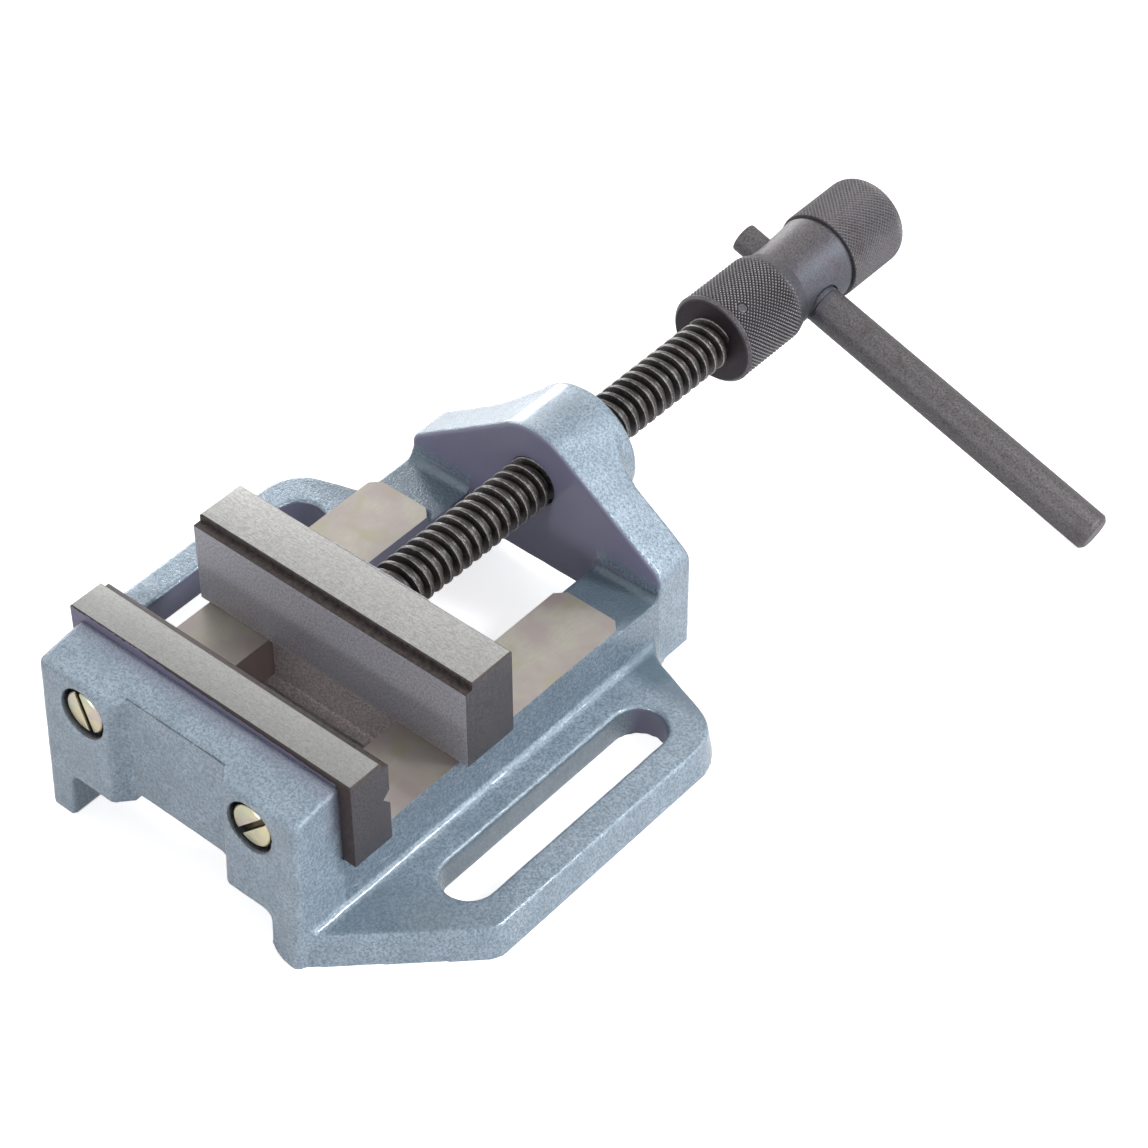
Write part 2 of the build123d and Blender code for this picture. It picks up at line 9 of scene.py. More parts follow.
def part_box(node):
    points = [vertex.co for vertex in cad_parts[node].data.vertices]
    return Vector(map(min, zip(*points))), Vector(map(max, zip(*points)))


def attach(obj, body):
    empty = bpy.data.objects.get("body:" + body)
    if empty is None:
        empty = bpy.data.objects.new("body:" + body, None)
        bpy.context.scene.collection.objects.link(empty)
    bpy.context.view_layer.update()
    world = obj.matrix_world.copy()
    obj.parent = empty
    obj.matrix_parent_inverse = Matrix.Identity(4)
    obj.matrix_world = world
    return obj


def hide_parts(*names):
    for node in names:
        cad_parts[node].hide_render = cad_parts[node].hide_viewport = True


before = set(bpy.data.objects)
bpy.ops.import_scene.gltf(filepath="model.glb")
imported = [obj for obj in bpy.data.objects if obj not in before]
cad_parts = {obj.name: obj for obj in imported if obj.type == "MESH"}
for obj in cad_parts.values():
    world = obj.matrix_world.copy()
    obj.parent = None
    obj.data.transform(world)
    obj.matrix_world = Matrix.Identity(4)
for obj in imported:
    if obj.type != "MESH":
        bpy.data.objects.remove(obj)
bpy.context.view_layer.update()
MM = 0.001

# Places read from the frame, in metres
HEAD_LOW, HEAD_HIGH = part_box("spindle_head")
SPINDLE_LOW, SPINDLE_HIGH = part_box("spindle")
_, JAW_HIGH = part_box("moving_jaw")
PLATE_LOW, PLATE_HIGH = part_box("fixed_jaw_plate")
RETAINER_LOW, RETAINER_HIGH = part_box("spindle_retainer")
SCREW_LOW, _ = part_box("jaw_plate_screws")
AXIS_Z = (SPINDLE_LOW.z + SPINDLE_HIGH.z) / 2
WAY_TOP = PLATE_LOW.z
WALL_REAR = PLATE_LOW.y

# Turned pieces: points that go round them, steps in a round, and the chamfer on their ends, in mm
AROUND = 96
AROUND_HOLE = 64
AROUND_PIN = 32
ROUND_STEPS = 5
FRONT_STEPS = 8
REAR_STEPS = 10
EDGE = 1.2

# Lever and pin, in mm: places behind the head's front face, reaches from the spindle's axis
LEVER_BACK = 38.8
LEVER_ANGLE = radians(-17.7)
LEVER_R = 6.2
LEVER_OUT = 120.5
LEVER_LINE = 13.1
THIN_R = 4.7
THIN_OUT = 19.9
SEAT_OUT = 11.4
SEAT_R = 6.7
PIN_BACK = 6.0
PIN_ANGLE = radians(61.5)
PIN_R = 1.6

# Head, in mm from its front face: a band, a cone down to the waist, the neck, and the rear band
HEAD_R = 14.6
HEAD_LEN = (HEAD_HIGH.y - HEAD_LOW.y) / MM
EYE_R = 0.5
BAND_END = 25.5
BAND_ROUND = 3.5
CONE_LONG = 4.7
WAIST = BAND_END + CONE_LONG
NECK_R = 12.8
NECK_END_R = 13.8
REAR_LONG = 27.0
REAR_BAND = HEAD_LEN - REAR_LONG
BORE_R = 6.05
BORE_FROM = -2
BORE_DEEP = 25
HOLE_OUT = 20
PIN_PLAY = 0.2
LEVER_PLAY = 0.05
PIN_OUT = HEAD_R - 0.4

# Knurling: small pyramids, in mm; it keeps off the waist, and fades over a band's last rows
KNURL_DEPTH = 0.42
KNURL_STEP = 0.72
KNURL_AROUND = 128
KNURL_OFF_WAIST = 1.5
FRONT_PLAIN = 1.4
FADE_FRONT = 5
FADE_REAR = 7

# Painted blue and violet sheen, in metres: where it starts and is full on X, where it ends, how it waves
TINT_START = 6 * MM
TINT_FULL = 12 * MM
TINT_END = 16 * MM
TINT_WAVE = 9 * MM

# Outlines as (place, radius, round) stations, in mm
HEAD_FRONT = [(0, EYE_R, 0), (0, HEAD_R - EDGE, 0.3), (EDGE, HEAD_R, 0.3), (3, HEAD_R, 0)]
FRONT_OUTLINE = [(1.5, HEAD_R, 0), (BAND_END, HEAD_R, BAND_ROUND), (WAIST, NECK_R, 0)]
NECK_OUTLINE = [
    (WAIST - 1.2, NECK_R + 0.45, 0), (WAIST, NECK_R, 3.0), (LEVER_BACK, NECK_R, 0),
    (REAR_BAND - 1.2, NECK_END_R - 0.1, 0), (REAR_BAND - 0.9, NECK_END_R - 0.6, 0),
    (REAR_BAND, NECK_END_R - 0.6, 0), (REAR_BAND + 0.05, HEAD_R - 0.3, 0),
]
REAR_OUTLINE = [(REAR_BAND + 0.4, HEAD_R, 0), (HEAD_LEN, HEAD_R, 5.0), (HEAD_LEN, 7.4, 0)]
HEAD_BACK = [(HEAD_LEN, 7.0, 0), (HEAD_LEN, EYE_R, 0)]
LEVER_OUTLINE = [
    (-THIN_OUT, 0, 0), (-THIN_OUT, THIN_R, 0.6), (SEAT_OUT, THIN_R, 0), (SEAT_OUT, LEVER_R, 0.4),
    (LEVER_LINE - 0.25, LEVER_R, 0.1), (LEVER_LINE, LEVER_R - 0.35, 0.05),
    (LEVER_LINE + 0.25, LEVER_R, 0.1), (LEVER_OUT - EDGE, LEVER_R, 0.8),
    (LEVER_OUT, LEVER_R - EDGE, 0.5), (LEVER_OUT, 0, 0),
]
PIN_OUTLINE = [(-PIN_OUT, 0, 0), (-PIN_OUT, PIN_R, 0.3), (PIN_OUT, PIN_R, 0.3), (PIN_OUT, 0, 0)]

# Thread, in mm; the corners' places are shares of the pitch
PITCH = 4.0
THREAD_R = 8.0
THREAD_ROOT_R = 5.75
CREST = 1.2
ROOT = 1.5
CORNER_SHARE = 0.05
CORNER_DEEP = 0.1
FLANK_SHARE = 0.03
FLANK_DEEP = 0.35
SPARE_TURNS = 1.5
RUN_IN = 2.2

# Spindle, in mm along +Y
RETAINER_GAP = 0.1
NOSE_R = 7.0
GROOVE_R = 5.0
END_R = 6.0
TIP_AT = SPINDLE_LOW.y / MM
END_AT = SPINDLE_HIGH.y / MM
HEAD_AT = HEAD_LOW.y / MM
GROOVE_AT = RETAINER_LOW.y / MM - RETAINER_GAP
THREAD_AT = RETAINER_HIGH.y / MM + RETAINER_GAP
NOSE_OUTLINE = [
    (TIP_AT, 0, 0), (TIP_AT, NOSE_R - EDGE, 0), (TIP_AT + EDGE, NOSE_R, 0.2), (GROOVE_AT, NOSE_R, 0),
    (GROOVE_AT, GROOVE_R, 0), (THREAD_AT + 0.2, GROOVE_R, 0), (THREAD_AT + 0.2, 0, 0),
]
END_OUTLINE = [
    (HEAD_AT - 0.3, 0, 0), (HEAD_AT - 0.3, END_R, 0), (END_AT - EDGE, END_R, 0.2),
    (END_AT, END_R - EDGE, 0), (END_AT, 0, 0),
]

# Attributes that carry a mesh's marks to its material: how high a knurl's point stands, and how bright a
# point of the thread is: slight wear on its crest, and a painted highlight along one edge of the crest.
# The highlighted edge is a band of places, as shares of the pitch
KNURL = "knurl"
WEAR_AND_SHINE = "wear_and_shine"
SHINE_EDGE = 1.0
RUB_CREST = 0.06
SHINE_BAND = (-0.165, -0.12)
CREST_DEEP = 0.4

# Casting: places the materials look at, in metres
BRIDGE_FRONT = 65.5 * MM
FLAT_SHADE_LOW = 4.0 * MM
FLAT_SHADE_FULL = 7.5 * MM
FLAT_SHADE_WAVE = 7 * MM
GAP_HALF = 23.9 * MM
INNER_HALF = 38 * MM
WAY_SIDE = 48.0 * MM
SLOT_X = 65.0 * MM
SLOT_HALF = 35.0 * MM
SLOT_REACH = 8.35 * MM
POCKET_END = 0.0
POCKET_FADE = 8 * MM
LEDGE_START = 46 * MM
LEDGE_END = 52 * MM
LEDGE_HIGH = 5 * MM
FOOT_START = -38 * MM
FOOT_END = -55 * MM
FOOT_TOP = 20 * MM
PLATE_SHADOW_LOW = 40 * MM
PLATE_SHADOW_WIDE = 6.5 * MM
PANEL_HALF = 18.2 * MM
PANEL_TOP_Y = -74.75 * MM
PANEL_TOP_Z = 53.55 * MM
SCREW_X = 30.8 * MM
SCREW_Z = 43.0 * MM
SCREW_REACH = 8.0 * MM
SCREW_SUNK = 2 * MM
PLATE_BROWN_START = -25 * MM
PLATE_BROWN_END = 46 * MM

# Casting: how its mesh is worked, in mm
VOXEL = 0.65
SOFTEN = 2
SNAP = 0.4
WAVE = 7.0
RIPPLE = 2.6
RIPPLE_SHARE = 0.5
UNEVEN = 0.10
CAST_FACES = 185000
BRIDGE_BORE_R = 8.15
FLAT_REACH = 0.03
FLAT_FACING = 0.995

# Machined planes, in mm: axis, place, and the low and high corners of the region that lies flat
MACHINED = [
    (2, 28.0, (-48, -63.5, 27), (48, 50.6, 29)),  # tops of the ways
    (1, -63.0, (-48, -64, 28), (48, -62, 56)),  # the wall's rear
    (2, 14.0, (-37.6, -63, 13), (37.6, 65.6, 15)),  # underside of the ways
    (0, 23.9, (23, -63, 13), (25, 65.6, 28.4)),  # the gap's right side
    (0, -23.9, (-25, -63, 13), (-23, 65.6, 28.4)),  # the gap's left side
    (2, 0.0, (-90, -90, -1), (90, 95, 1)),  # base
]

# Jaws: how far under its top a face is ground, or belongs to the step; how deep the plate's back goes
MILLED, GROUND, STEPPED, BACK = range(4)
TOP_FACING = 0.95
TOP_REACH = 0.6 * MM
STEP_REACH = 2.9 * MM
BACK_REACH = 1.0 * MM

# Edges: where shading breaks, in degrees, and how the CAD meshes are joined and bevelled
SHARP = 32
SHARP_THREAD = 28
SHARP_CAST = 70
JOIN_WITHIN = 0.001 * MM
FLAT_ANGLE = radians(0.3)
BEVEL_ANGLE = radians(30)
BEVEL_STEPS = 2

# Studio, in metres; each lamp has its place, its size and its power in watts
FLOOR_HALF = 4.0
FLOOR_GLOW = 0.7
FLOOR_MIRRORED = 0.2
SHADE_HALF = 37 * MM
SHADE_START = -8 * MM
SHADE_END = 8 * MM
WORLD_LEVEL = 0.43
LAMP_TARGET = Vector((0, 0.05, 0.02))
LAMPS = {
    "key": ((0.82, 0.46, 0.82), 0.22, 9.0),
    "back": ((-0.5, 0.8, 0.8), 0.5, 0.8),
    "left": ((-1.1, 0.0, 0.6), 0.6, 2.4),
    "low_back": ((-0.9, 0.6, 0.2), 0.4, 4.5),
    "front": ((0.1, -1.2, 0.6), 0.12, 3.6),
    "low_right": ((1.15, 0.3, 0.2), 0.3, 2.5),
}

# Camera at the photograph's place
CAMERA_AT = Vector((0.46367, -0.45601, 0.68298))
CAMERA_AZIMUTH = radians(40.679)
CAMERA_ELEVATION = radians(44.117)
CAMERA_ROLL = radians(-0.237)
CAMERA_LENS = 104.86
SENSOR = 36.0


def grey(red, green, blue):
    """A colour from the 0 to 255 levels that it shows at plain light."""
    return [*(((level / 255 + 0.055) / 1.055) ** 2.4 for level in (red, green, blue)), 1.0]


# Colours as they show at plain light
PAINT_DARK = grey(95, 114, 128)
PAINT_MID = grey(131, 148, 164)
PAINT_LIGHT = grey(175, 191, 206)
PAINT_SHADE = grey(112, 110, 132)
PAINT_DEEP = grey(66, 84, 97)
FLAT_SHADE_VIOLET = grey(120, 120, 145)
SLOT_SHADE = grey(100, 101, 122)
SLOT_WALL_SHADE = grey(74, 88, 98)
POCKET_BROWN = grey(138, 122, 118)
BORE_DARK = grey(44, 44, 50)
WAY_TAN = grey(167, 164, 151)
WAY_PINK = grey(155, 144, 141)
WAY_GREEN = grey(151, 150, 115)
STEEL_LIGHT = grey(176, 176, 174)
STEEL_DARK = grey(143, 142, 140)
STEEL_FIXED_SHADE = grey(118, 120, 119)
MILLED_LIGHT = grey(176, 175, 182)
MILLED_DARK = grey(134, 133, 140)
END_LIGHT = grey(78, 76, 80)
END_DARK = grey(50, 48, 52)
TONGUE_LIGHT = grey(216, 206, 205)
TONGUE_DARK = grey(158, 146, 146)
EDGE_VIOLET = grey(112, 108, 132)
EDGE_BROWN = grey(50, 38, 38)
STEP_LIGHT = grey(74, 66, 64)
STEP_DARK = grey(44, 36, 36)
OXIDE_LIGHT = grey(118, 115, 117)
OXIDE_GREY = grey(70, 67, 70)
OXIDE_BLUE = grey(72, 84, 98)
OXIDE_VIOLET = grey(80, 77, 94)
OXIDE_BROWN = grey(74, 65, 64)
OXIDE_FACE = grey(58, 52, 56)
OXIDE_VALLEY = grey(26, 25, 28)
OXIDE_TIP = grey(206, 204, 208)
THREAD_BLACK = grey(18, 14, 15)
THREAD_BROWN = grey(44, 33, 32)
THREAD_WORN_SHINE = grey(190, 187, 184)
ZINC_YELLOW = grey(218, 208, 172)
ZINC_PINK = grey(206, 190, 180)
ZINC_GREEN = grey(196, 200, 174)
ZINC_SHADE = grey(84, 74, 54)
FLOOR_DARK = grey(236, 236, 238)
FLOOR_LIGHT = grey(240, 240, 241)


class Finish:
    """A node material that is being put together."""

    def __init__(self, name):
        self.material = bpy.data.materials.new(name)
        self.material.use_nodes = True
        tree = self.material.node_tree
        self.nodes = tree.nodes
        self.links = tree.links
        self.shader = tree.nodes["Principled BSDF"]
        self.place = tree.nodes.new("ShaderNodeTexCoord").outputs["Object"]

    def put(self, socket, value):
        """Link a socket to another, or set its value."""
        if isinstance(value, bpy.types.NodeSocket):
            self.links.new(value, socket)
        else:
            socket.default_value = value

    def node(self, kind, inputs, **settings):
        """Add one node with its settings and inputs."""
        made = self.nodes.new("ShaderNode" + kind)
        for key, value in settings.items():
            setattr(made, key, value)
        for key, value in inputs.items():
            self.put(made.inputs[key], value)
        return made

    def math(self, operation, *values):
        """The result of a sum on one to three values."""
        return self.node("Math", dict(enumerate(values)), operation=operation).outputs[0]

    def above(self, value, limit):
        """1 where a value is over a limit."""
        return self.math("GREATER_THAN", value, limit)

    def below(self, value, limit):
        """1 where a value is under a limit."""
        return self.math("LESS_THAN", value, limit)

    def within(self, value, place, reach):
        """1 where a value is within reach of a place."""
        return self.math("COMPARE", value, place, reach)

    def all(self, *masks):
        """The product of masks."""
        product = masks[0]
        for mask in masks[1:]:
            product = self.math("MULTIPLY", product, mask)
        return product

    def near(self, first, second, reach):
        """1 where two distances, taken square to each other, are together under a reach."""
        square = self.math("ADD", self.math("MULTIPLY", first, first),
                           self.math("MULTIPLY", second, second))
        return self.below(square, reach ** 2)

    def noise(self, size, detail=2.0, rough=0.5, stretch=None, distortion=0.0):
        """Noise whose features are about size across, in mm, and drawn out by stretch along X, Y and Z."""
        place = self.place
        if stretch:
            scale = [1 / s for s in stretch]
            place = self.node("Mapping", {"Vector": place, "Scale": scale}).outputs[0]
        inputs = {"Vector": place, "Scale": 1 / (size * MM), "Detail": detail, "Roughness": rough,
                  "Distortion": distortion}
        return self.node("TexNoise", inputs).outputs["Fac"]

    def span(self, value, low, high, start=0.0, end=1.0):
        """Value carried from low..high to start..end, and held there."""
        inputs = {"Value": value, "From Min": low, "From Max": high, "To Min": start, "To Max": end}
        return self.node("MapRange", inputs).outputs["Result"]

    def vary(self, value, start, end):
        """A noise's usual range carried to start..end."""
        return self.span(value, 0.3, 0.7, start, end)

    def mix(self, share, first, second):
        """Two colours mixed."""
        made = self.node("Mix", {"Factor": share, 6: first, 7: second}, data_type="RGBA")
        return made.outputs[2]

    def wash(self, colour, mask, share, over):
        """A colour with another over it where a mask says, at a share of its strength."""
        return self.mix(self.math("MULTIPLY", mask, share), colour, over)

    def blend(self, share, first, second):
        """Two numbers mixed."""
        made = self.node("Mix", {"Factor": share, 2: first, 3: second}, data_type="FLOAT")
        return made.outputs[0]

    def axes(self):
        """X, Y and Z of the surface's place, in metres."""
        return self.node("SeparateXYZ", {0: self.place}).outputs

    def normal_axes(self):
        """X, Y and Z of the surface's normal in the piece's own frame."""
        normal = self.nodes.new("ShaderNodeNewGeometry").outputs["Normal"]
        return self.node("SeparateXYZ", {0: normal}).outputs

    def mark(self, name):
        """The marks that a mesh carries in one of its attributes."""
        return self.node("Attribute", {}, attribute_name=name).outputs["Fac"]

    def bump(self, height, depth):
        """Bump of a height between 0 and 1 times depth, in mm."""
        return self.node("Bump", {"Height": height, "Distance": depth * MM, "Strength": 1.0}).outputs[0]

    def finish(self, **inputs):
        """Set the shader's sockets and hand over the material."""
        for key, value in inputs.items():
            self.put(self.shader.inputs[key.replace("_", " ")], value)
        return self.material


class CastPaint(Finish):
    """The casting's paint, with masks of where it is bare, brown, or darkened with painted shade."""

    def __init__(self):
        super().__init__("hammer_paint")
        self.x, self.y, self.z = self.axes()
        _, self.normal_y, self.normal_z = self.normal_axes()
        self.side = self.math("ABSOLUTE", self.x)
        self.wavy = self.noise(1.6, detail=3.0)
        self.upright = self.below(self.normal_z, 0.45)
        self.behind_wall = self.above(self.y, WALL_REAR - 0.2 * MM)

    def ground(self):
        """The tops of the ways."""
        return self.all(self.above(self.normal_z, 0.9), self.above(self.z, WAY_TOP - 0.12 * MM),
                        self.below(self.z, WAY_TOP + 0.3 * MM), self.behind_wall)

    def bridge_face(self):
        """The bridge's front face, down to a wavy line over its roots."""
        uneven = self.math("MULTIPLY_ADD", self.wavy, FLAT_SHADE_WAVE, self.z)
        over_root = self.math("MAXIMUM", self.span(uneven, WAY_TOP + FLAT_SHADE_LOW, WAY_TOP + FLAT_SHADE_FULL),
                              self.below(self.side, GAP_HALF))
        return self.all(self.within(self.y, BRIDGE_FRONT - 1.2 * MM, 2.2 * MM),
                        self.below(self.normal_y, -0.6), over_root)

    def inner(self):
        """The walls under the ways and between them."""
        return self.all(self.below(self.side, INNER_HALF), self.below(self.z, WAY_TOP - 0.2 * MM),
                        self.behind_wall, self.upright, self.below(self.y, BRIDGE_FRONT + 0.8 * MM))

    def in_slot(self):
        """The walls of the bolt slots."""
        across = self.math("SUBTRACT", self.side, SLOT_X)
        past_end = self.math("SUBTRACT", self.math("ABSOLUTE", self.y), SLOT_HALF)
        return self.all(self.near(across, self.math("MAXIMUM", past_end, 0.0), SLOT_REACH), self.upright)

    def away_from_light(self):
        """The left half, and what faces the front."""
        return self.math("MAXIMUM", self.below(self.x, 0.0), self.span(self.normal_y, -0.35, -0.75))

    def panel_edge_shade(self):
        """The broken line of painted shade over the wall's recessed panel."""
        return self.all(self.within(self.y, PANEL_TOP_Y, 0.35 * MM),
                        self.within(self.z, PANEL_TOP_Z, 0.45 * MM), self.below(self.side, PANEL_HALF),
                        self.span(self.wavy, 0.35, 0.55, 0.4, 1.0))

    def pocket(self, inner):
        """The front half of the hollow between the ways and under them."""
        return self.all(inner, self.span(self.y, POCKET_END + POCKET_FADE, POCKET_END - 1 * MM))

    def ledge(self):
        """The floor before the bridge's front face, where the bridge's shade is painted."""
        return self.all(self.span(self.y, LEDGE_START, LEDGE_END),
                        self.below(self.y, BRIDGE_FRONT + 0.5 * MM),
                        self.below(self.z, WAY_TOP + LEDGE_HIGH), self.above(self.normal_z, 0.3))

    def plate_shadow(self):
        """The wall's top along the jaw plate, where the plate's shadow is painted."""
        return self.all(self.span(self.y, WALL_REAR - PLATE_SHADOW_WIDE, WALL_REAR - 1.0 * MM),
                        self.below(self.y, WALL_REAR + 0.5 * MM), self.above(self.z, PLATE_SHADOW_LOW))

    def bored(self):
        """The counterbores of the jaw plate's screws, darkened with painted shade."""
        return self.all(self.near(self.math("SUBTRACT", self.side, SCREW_X),
                                  self.math("SUBTRACT", self.z, SCREW_Z), SCREW_REACH),
                        self.below(self.y, WALL_REAR - SCREW_SUNK))

    def beside_way(self):
        """The ways' outer sides, which take a painted shade."""
        return self.all(self.within(self.side, WAY_SIDE, 2.5 * MM), self.upright, self.behind_wall,
                        self.below(self.y, BRIDGE_FRONT))

    def foot(self):
        """The front ends of the ears' tops, which take a painted shade."""
        return self.all(self.span(self.y, FOOT_START, FOOT_END), self.span(self.normal_z, 0.6, 0.9),
                        self.below(self.z, FOOT_TOP))

    def bare_ways(self, grain):
        """The colour of the ground ways, stained in wide patches."""
        stain = self.noise(14.0, detail=3.0)
        green = self.noise(9.0, distortion=0.4)
        bare = self.mix(self.span(stain, 0.38, 0.62), WAY_TAN, WAY_PINK)
        bare = self.mix(self.span(green, 0.55, 0.7, 0.0, 0.6), bare, WAY_GREEN)
        return self.mix(self.span(grain, 0.35, 0.65, 0.0, 0.5), bare, WAY_PINK)


def make_paint():
    """Grey-blue hammer paint, bare ground ways, and smooth violet-grey painted shade on shaded faces."""
    paint = CastPaint()
    speck = paint.noise(0.45, rough=0.6)
    fine = paint.noise(0.85, detail=4.0, rough=0.62)
    grain = paint.noise(0.35, detail=3.0, stretch=(1, 10, 1))
    mottle = paint.blend(0.4, paint.span(fine, 0.38, 0.62), paint.span(speck, 0.35, 0.65))
    ground, inner, in_slot = paint.ground(), paint.inner(), paint.in_slot()
    slot = paint.all(in_slot, paint.away_from_light())
    # The bridge's front face and the hollow's walls take a flat violet-grey painted shade
    flat_shade = paint.math("MAXIMUM", paint.bridge_face(), inner)
    colour = paint.mix(0.15, paint.mix(mottle, PAINT_DARK, PAINT_LIGHT), PAINT_MID)
    for mask, share, over in [
        (paint.vary(paint.noise(9.0), 0.0, 0.35), 1.0, PAINT_DARK),
        # painted shade on the ways' outer sides
        (paint.beside_way(), 0.8, paint.mix(mottle, PAINT_DEEP, PAINT_MID)),
        # painted shade of the bridge on the ledge before it
        (paint.ledge(), 0.85, PAINT_DARK),
        # painted shade on the front ends of the ears' tops
        (paint.foot(), 0.45, PAINT_DARK),
        # painted shadow of the jaw plate on the wall's top
        (paint.plate_shadow(), 0.65, PAINT_SHADE),
        # painted shade on the bolt slots' walls
        (in_slot, 0.5, SLOT_WALL_SHADE),
        # painted shade along the recessed panel's top edge
        (paint.panel_edge_shade(), 0.75, BORE_DARK),
        (flat_shade, 1.0, FLAT_SHADE_VIOLET),
        (slot, 1.0, SLOT_SHADE),
        (paint.pocket(inner), 1.0, POCKET_BROWN),
        # painted shade in the screws' counterbores
        (paint.bored(), 0.85, BORE_DARK),
        (ground, 1.0, paint.bare_ways(grain)),
    ]:
        colour = paint.wash(colour, mask, share, over)
    flat_shaded = paint.math("MAXIMUM", flat_shade, slot)

    def by_kind(painted, smooth, bare):
        """One value on the paint, one on the flat painted shade and one on the ground ways."""
        return paint.blend(ground, paint.blend(flat_shaded, painted, smooth), bare)

    height = by_kind(mottle, 0.5, paint.span(grain, 0.0, 1.0, 0.45, 0.55))
    return paint.finish(Base_Color=colour, Metallic=by_kind(0.26, 0.0, 0.6),
                        Roughness=by_kind(paint.vary(speck, 0.17, 0.27), 0.65, 0.45),
                        Normal=paint.bump(height, 0.11), Coat_Weight=0.5, Coat_Roughness=0.1)


def make_ground_steel():
    """Surface-ground steel, fine lengthwise grain; the fixed plate a little darker, as painted shade."""
    steel = Finish("ground_steel")
    grain = steel.noise(0.5, detail=3.0, rough=0.6, stretch=(5, 1, 1))
    shade = steel.blend(0.5, steel.span(grain, 0.38, 0.62), steel.span(steel.noise(0.6), 0.38, 0.62))
    colour = steel.mix(shade, STEEL_DARK, STEEL_LIGHT)
    colour = steel.mix(steel.vary(steel.noise(10.0), 0.0, 0.25), colour, STEEL_DARK)
    # Painted shade: the fixed plate's steel is darker
    on_plate = steel.below(steel.axes()[1], PLATE_HIGH.y + 1.0 * MM)
    colour = steel.wash(colour, on_plate, 0.4, STEEL_FIXED_SHADE)
    return steel.finish(Base_Color=colour, Metallic=0.85, Roughness=steel.vary(grain, 0.36, 0.5),
                        Normal=steel.bump(shade, 0.012))


def make_milled_steel():
    """Dark milled steel: ends darker, as painted shade; browner down in the tongue."""
    steel = Finish("milled_steel")
    z = steel.axes()[2]
    facing_side = steel.above(steel.math("ABSOLUTE", steel.normal_axes()[0]), 0.7)
    speck = steel.noise(0.7, detail=3.0, rough=0.65)
    shade = steel.span(speck, 0.37, 0.63)
    low = steel.span(z, WAY_TOP + 2.0 * MM, WAY_TOP - 0.5 * MM)
    browned = steel.math("MAXIMUM", low, steel.span(steel.noise(9.0), 0.5, 0.8, 0.0, 0.2))
    front = steel.mix(browned, steel.mix(shade, MILLED_DARK, MILLED_LIGHT),
                      steel.mix(shade, TONGUE_DARK, TONGUE_LIGHT))
    # The ends take darker copies of the milled colours: painted shade
    colour = steel.mix(facing_side, front, steel.mix(shade, END_DARK, END_LIGHT))
    return steel.finish(Base_Color=colour, Metallic=0.2, Roughness=steel.vary(speck, 0.42, 0.56),
                        Normal=steel.bump(speck, 0.03))


def make_step_steel():
    """Dark brown on the jaws' steps, just under their ground tops."""
    steel = Finish("dark_step")
    patch = steel.noise(1.4, detail=4.0, rough=0.6)
    colour = steel.mix(steel.span(patch, 0.35, 0.65), STEP_DARK, STEP_LIGHT)
    return steel.finish(Base_Color=colour, Metallic=0.4, Roughness=steel.vary(patch, 0.45, 0.65),
                        Normal=steel.bump(patch, 0.05))


def make_plate_back():
    """The strip of the fixed plate above the wall: violet painted shade, and dark brown along its top."""
    steel = Finish("plate_back")
    x, _, z = steel.axes()
    patch = steel.noise(1.6, detail=3.0, rough=0.6)
    # The dark brown band grows to the right and covers the strip past the wall's end; below it, violet
    # painted shade
    bare = steel.span(x, PLATE_BROWN_START, PLATE_BROWN_END, 0.3 * MM, 2.0 * MM)
    under_top = steel.math("SUBTRACT", PLATE_HIGH.z, z)
    ragged = steel.math("MULTIPLY_ADD", patch, 1.2 * MM, steel.math("SUBTRACT", under_top, 0.6 * MM))
    dark = steel.math("MAXIMUM", steel.below(ragged, bare), steel.above(x, PLATE_BROWN_END))
    return steel.finish(Base_Color=steel.mix(dark, EDGE_VIOLET, EDGE_BROWN), Metallic=0.1,
                        Roughness=steel.vary(patch, 0.45, 0.65), Normal=steel.bump(patch, 0.05))


def make_oxide():
    """Black-oxide steel: painted blue-violet sheen on the head's right, most on the neck; brown patches."""
    oxide = Finish("black_oxide")
    x, y, _ = oxide.axes()
    patch = oxide.noise(8.0, detail=3.0, distortion=0.5)
    speck = oxide.noise(0.45)
    grit = oxide.noise(0.7, detail=3.0, rough=0.65)
    grain = oxide.blend(0.35, oxide.span(speck, 0.35, 0.65), oxide.span(grit, 0.36, 0.64))
    reach = oxide.math("ADD", x, oxide.math("MULTIPLY", patch, TINT_WAVE))
    low_right = oxide.all(oxide.span(reach, TINT_START, TINT_FULL), oxide.below(x, TINT_END))
    behind_neck = oxide.above(y, HEAD_HIGH.y - REAR_LONG * MM)
    on_neck = oxide.all(oxide.above(y, HEAD_LOW.y + BAND_END * MM),
                        oxide.below(y, HEAD_HIGH.y - REAR_LONG * MM))
    tint = oxide.mix(oxide.span(patch, 0.42, 0.58), OXIDE_BLUE, OXIDE_VIOLET)
    knurl = oxide.mark(KNURL)
    tip = oxide.span(knurl, 0.2, 1.0)
    colour = oxide.mix(grain, OXIDE_GREY, OXIDE_LIGHT)
    for mask, share, over in [
        # painted blue and violet sheen on the head's right side
        (low_right, oxide.blend(on_neck, 0.1, 0.4), tint),
        (oxide.span(patch, 0.55, 0.75), 0.5, OXIDE_BROWN),
        # painted shade on the head's front face
        (oxide.below(y, HEAD_LOW.y + 0.4 * MM), 1.0, OXIDE_FACE),
        (oxide.span(knurl, 0.0, -1.0), 1.0, OXIDE_VALLEY),
        # The rear band's knurl tips are lightened less: painted shade against the stronger light there
        (tip, oxide.blend(behind_neck, 0.95, 0.15), OXIDE_TIP),
    ]:
        colour = oxide.wash(colour, mask, share, over)
    return oxide.finish(Base_Color=colour, Metallic=0.75, Roughness=oxide.vary(speck, 0.44, 0.6),
                        Normal=oxide.bump(grain, 0.03))


